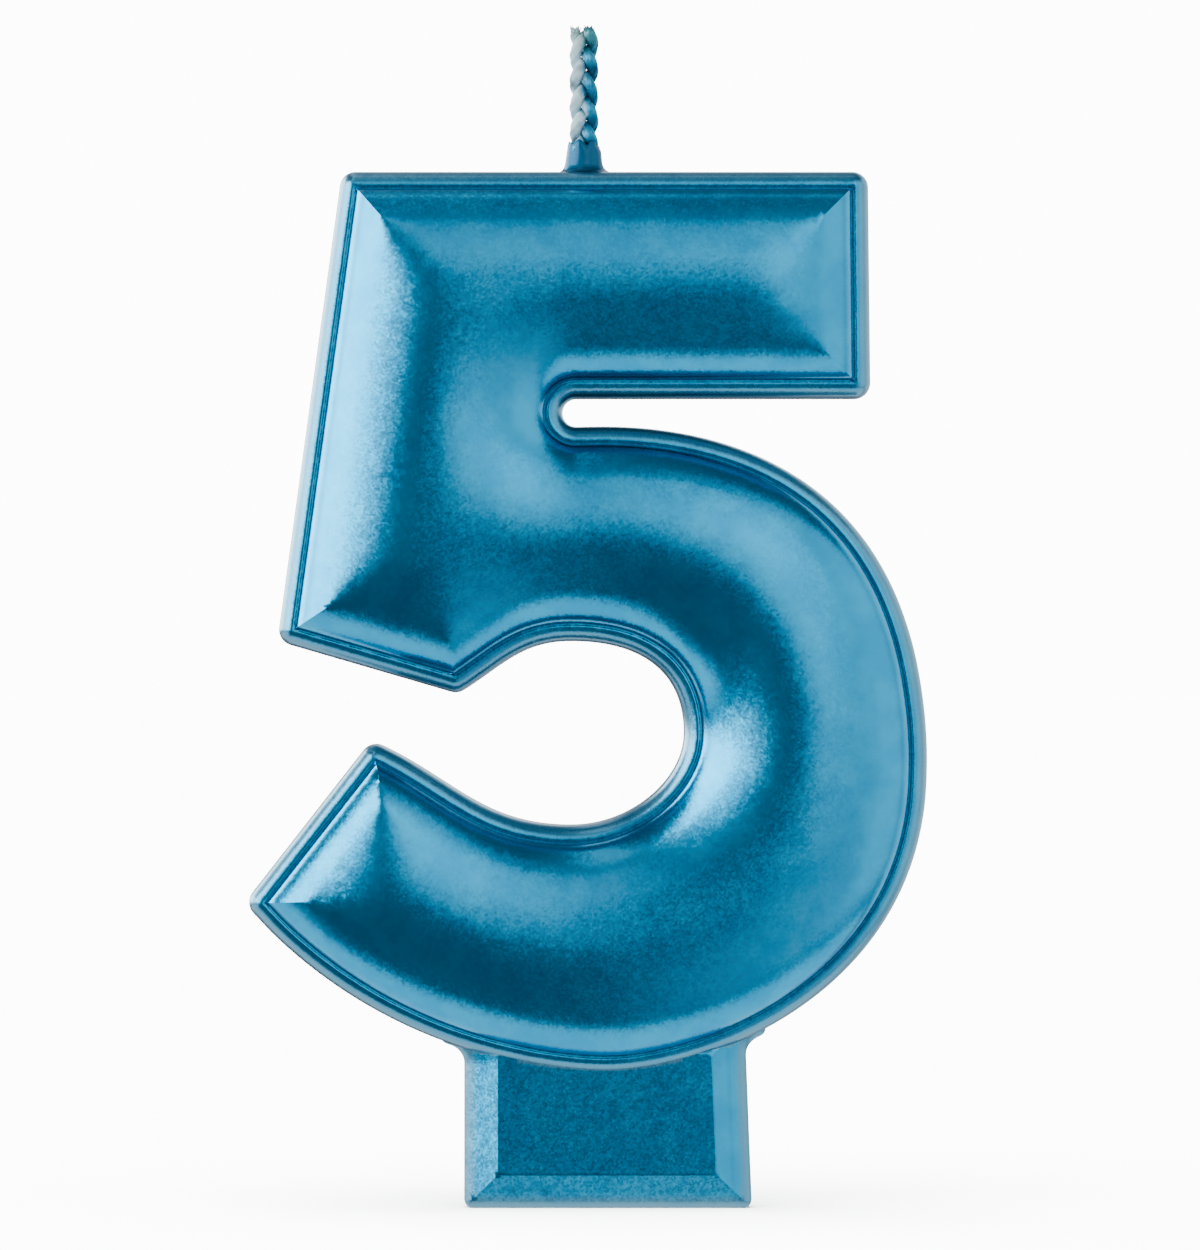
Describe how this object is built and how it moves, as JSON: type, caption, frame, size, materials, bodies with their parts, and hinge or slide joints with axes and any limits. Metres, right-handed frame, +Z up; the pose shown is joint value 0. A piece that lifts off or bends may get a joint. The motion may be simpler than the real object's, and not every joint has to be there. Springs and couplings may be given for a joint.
{
  "type": "number birthday candle",
  "caption": "Moulded wax number candle shaped as a padded numeral five in metallic teal-blue lacquer, with a plaited cotton wick on top and a short flat stem for the cake.",
  "frame": {"origin": "middle of the stem's foot, on the plane where the front and back halves meet", "axes": "+Z up along the candle to the wick, -Y out of the front face, +X to the reader's right when the numeral is read"},
  "size_m": [0.0541, 0.0128, 0.0941],
  "materials": {
    "metallic_lacquer": "gloss",
    "waxed_cotton": "matte"
  },
  "bodies": {
    "root": {"wax_front": "metallic_lacquer", "wax_back": "metallic_lacquer", "wick_seal": "metallic_lacquer", "wick_strand_1": "waxed_cotton", "wick_strand_2": "waxed_cotton", "wick_strand_3": "waxed_cotton"}
  },
  "joints": []
}
